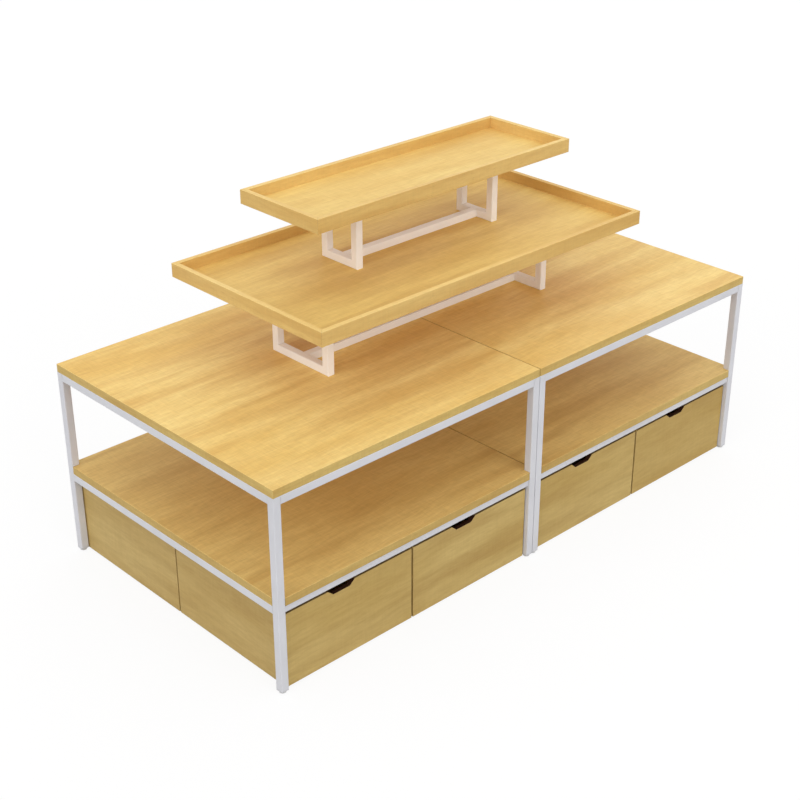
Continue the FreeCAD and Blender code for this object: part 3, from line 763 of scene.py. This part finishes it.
cheek_height = PLATE_TOP - SHEET - CHEEK_LOW
cheek = open_piece("caster_cheek", "cube", size=1, scale=(SHEET, CHEEK_LENGTH, cheek_height),
                   location=(CHEEK_OUTSIDE - SHEET / 2, 0, CHEEK_LOW + cheek_height / 2))
pick(cheek, "verts", lambda vert: vert.co.z < CHEEK_LOW + 1e-5)
resize(y=TIP_SHARE)
pick(cheek, "edges", lambda edge: all(vert.co.z < CHEEK_LOW + 1e-5 for vert in edge.verts)
     and abs(edge.verts[0].co.x - edge.verts[1].co.x) > SHEET / 2)
bpy.ops.mesh.bevel(offset=PLATE_CORNER, segments=6, affect="EDGES")
pick(cheek, "faces", lambda face: face.normal.x > 0.9)
bpy.ops.mesh.inset(thickness=RECESS_MARGIN)
bpy.ops.mesh.inset(thickness=RECESS, depth=-RECESS)
pick(cheek, "edges", lambda edge: edge.calc_face_angle(0) > 1.0)
bpy.ops.mesh.bevel(offset=SHEET_EASE, segments=2, affect="EDGES")
close_piece(cheek, zinc)
rivet = open_piece("axle_rivet", "cylinder", vertices=24, radius=RIVET_RADIUS, depth=RIVET,
                   location=(CHEEK_OUTSIDE + RIVET / 2, 0, AXLE_HEIGHT), rotation=(0, math.pi / 2, 0))
pick(rivet, "edges", lambda edge: all(vert.co.x > CHEEK_OUTSIDE + 0.9 * RIVET for vert in edge.verts))
bpy.ops.mesh.bevel(offset=RIVET * 2 / 3, segments=4, affect="EDGES")
close_piece(rivet, zinc)
cheek = joined("caster_cheek", [cheek, rivet])
other_cheek = copies(cheek, [(0, 0, 0, 0, 0, 180)], "other_cheek")
axle = open_piece("caster_axle", "cylinder", vertices=24, radius=AXLE_RADIUS, depth=2 * CHEEK_OUTSIDE,
                  location=(0, 0, AXLE_HEIGHT), rotation=(0, math.pi / 2, 0))
pick(axle, "edges", lambda edge: edge.calc_face_angle(0) > 1.0)
bpy.ops.mesh.bevel(offset=AXLE_EASE, segments=2, affect="EDGES")
close_piece(axle, zinc)
plate_screw = socket_screw(*PLATE_SCREW)
plate_screws = copies(plate_screw, [(x, y, PLATE_TOP - SHEET) for x, y in PLATE_SCREW_PLACES], "plate_screws")
caster = joined("caster", [plate, cheek, other_cheek, axle, plate_screws])
for number in range(1, 9):
    body = "drawer_%d" % number
    low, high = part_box(body + "_casters")
    places = [(x, y, 0) for x in (low.x + PLATE_WIDTH / 2, high.x - PLATE_WIDTH / 2)
              for y in (low.y + PLATE_LENGTH / 2, high.y - PLATE_LENGTH / 2)]
    gear = copies(caster, places, body + "_caster_gear")
    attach(gear, body)
    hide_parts(body + "_casters")
for model in (plate_screw, caster):
    bpy.data.objects.remove(model)


# --- Wheels ------------------------------------------------------------------------------------------
# Black moulded wheels with a hub, a recessed web stiffened by six ribs, and a softer grey tread moulded
# on. They turn on the riveted axles.

WHEEL_RADIUS = 0.020
WHEEL_WIDTH = 0.016
WHEEL_FACETS = 48
TREAD = 0.0032
TREAD_ROUNDING = 0.0022
DRAFT = 0.0004                     # lean of the moulded walls
WEB = 0.0100                       # from the tread's rim to the hub
WEB_RECESS = 0.0038
HUB_RISE = 0.0036
RIB_RISE = 0.0026
RIB_SPAN = (0.007, 0.016)          # between hub and tread
RIB_COUNT = 6
BORE = 0.0031
wheel_core = plain("wheel_core", (46, 46, 48), 0.45)
wheel_tread = plain("wheel_tread", (104, 104, 106), 0.6)


def from_axle(point):
    """Distance from the axle's middle line."""
    return math.hypot(point.y, point.z)


def on_rib(face):
    """True for the web faces that rise as ribs."""
    middle = face.calc_center_median()
    step = 2 * math.pi / RIB_COUNT
    turn = (math.atan2(middle.z, middle.y) + math.pi / WHEEL_FACETS) % step
    return (abs(face.normal.x) > 0.9 and abs(middle.x) < 0.75 * WHEEL_WIDTH / 2
            and RIB_SPAN[0] < from_axle(middle) < RIB_SPAN[1] and turn < 2 * math.pi / WHEEL_FACETS)


wheel = open_piece("caster_wheel", "cylinder", vertices=WHEEL_FACETS, radius=WHEEL_RADIUS, depth=WHEEL_WIDTH,
                   rotation=(0, math.pi / 2, 0))
pick(wheel, "edges", lambda edge: edge.calc_face_angle(0) > 1.0)
bpy.ops.mesh.bevel(offset=TREAD_ROUNDING, segments=4, affect="EDGES")
pick(wheel, "faces", lambda face: abs(face.normal.x) > 0.99)
bpy.ops.mesh.inset(thickness=TREAD - TREAD_ROUNDING)
bpy.ops.mesh.inset(thickness=DRAFT, depth=-WEB_RECESS)
bpy.ops.mesh.inset(thickness=WEB)
bpy.ops.mesh.inset(thickness=DRAFT, depth=HUB_RISE)
bpy.ops.mesh.inset(thickness=WHEEL_RADIUS - TREAD - DRAFT - WEB - DRAFT - BORE)
bpy.ops.mesh.bridge_edge_loops()
pick(wheel, "faces", on_rib)
bpy.ops.mesh.inset(thickness=DRAFT / 4, depth=RIB_RISE)
close_piece(wheel, wheel_core)
wheel.data.materials.append(wheel_tread)
for face in wheel.data.polygons:
    if from_axle(face.center) > WHEEL_RADIUS - TREAD + 0.0001:
        face.material_index = 1
for number in range(1, 9):
    for end in ("front", "rear"):
        node = "drawer_%d_%s_wheels" % (number, end)
        low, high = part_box(node)
        places = [(x, (low.y + high.y) / 2, WHEEL_RADIUS)
                  for x in (low.x + WHEEL_WIDTH / 2, high.x - WHEEL_WIDTH / 2)]
        pair = copies(wheel, places, node + "_moulded")
        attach(pair, node)
        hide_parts(node)
bpy.data.objects.remove(wheel)


# --- Floor -------------------------------------------------------------------------------------------
# A plain white studio floor. It shines evenly, so that it stays white, and takes a faint share of the
# table's soft shadow.

FLOOR_SIZE = 120.0
SHADOW_SHARE = 0.15                # how much of the floor's shading the viewer sees
FLOOR_SEEN = 0.86
FLOOR_BOUNCE = 0.42                # grey of the floor as it throws light back on the table
FLOOR_GLOW = 1.03
bpy.ops.mesh.primitive_plane_add(size=FLOOR_SIZE, location=(0, 0, 0))
floor = bpy.context.object
floor.name = "studio_floor"
floor_white = bpy.data.materials.new("floor_white")
floor_white.use_nodes = True
floor_tree = floor_white.node_tree
floor_tree.nodes.clear()
rays = put(floor_tree, "LightPath")
viewed = reckon(floor_tree, "MAXIMUM", rays.outputs["Is Camera Ray"], rays.outputs["Is Glossy Ray"])
floor_grey = blend(floor_tree, viewed, (FLOOR_BOUNCE, FLOOR_BOUNCE, FLOOR_BOUNCE, 1.0),
                   (FLOOR_SEEN, FLOOR_SEEN, FLOOR_SEEN, 1.0))
matt = put(floor_tree, "BsdfDiffuse", [("Color", floor_grey)])
lit = put(floor_tree, "Emission", [("Color", (1.0, 1.0, 1.0, 1.0)), ("Strength", FLOOR_GLOW)])
share = reckon(floor_tree, "MULTIPLY", viewed, 1.0 - SHADOW_SHARE)
seen_floor = put(floor_tree, "MixShader", [(0, share), (1, matt.outputs[0]), (2, lit.outputs[0])])
put(floor_tree, "OutputMaterial", [("Surface", seen_floor.outputs[0])])
floor.data.materials.append(floor_white)


# --- Light and camera --------------------------------------------------------------------------------
# Soft light from above, a broad low lamp facing the front and the left end, a weak one behind the right
# end, and a white room all round.

SKY = 0.42                         # strength of the room's light on the table
KEY = 1.17
FILL = 0.93
REAR = 0.30
world = bpy.data.worlds.new("studio")
bpy.context.scene.world = world
world.use_nodes = True
room = world.node_tree
room.nodes.clear()
rays = put(room, "LightPath")
viewed = reckon(room, "MAXIMUM", rays.outputs["Is Camera Ray"],
                reckon(room, "MAXIMUM", rays.outputs["Is Glossy Ray"], rays.outputs["Is Transmission Ray"]))
level = reckon(room, "MULTIPLY_ADD", viewed, 1.0 - SKY, SKY)
sky = put(room, "Background", [("Color", (1.0, 1.0, 1.0, 1.0)), ("Strength", level)])
put(room, "OutputWorld", [("Surface", sky.outputs[0])])

for name, energy, spread_angle, lean, turn in (
        ("overhead_lamp", KEY, 100, 8, -43), ("front_lamp", FILL, 46, 72, -3),
        ("end_lamp", FILL, 46, 72, -83), ("rear_lamp", REAR, 50, 60, 118)):
    bpy.ops.object.light_add(type="SUN", location=(0, 0, 5))
    lamp = bpy.context.object
    lamp.name = name
    lamp.data.energy = energy
    lamp.data.angle = math.radians(spread_angle)
    lamp.rotation_euler = (math.radians(lean), 0, math.radians(turn))

bpy.ops.object.camera_add(location=(-3.6003, -3.6978, 3.0990))
camera = bpy.context.object
camera.rotation_euler = [math.radians(angle) for angle in (62.112, 0.135, -43.334)]
camera.data.lens = 68.073
camera.data.sensor_width = 36.0
camera.data.shift_x = 0.0031
camera.data.shift_y = 0.0157
camera.data.clip_end = 200.0
bpy.context.scene.camera = camera
bpy.context.scene.view_settings.view_transform = "Standard"
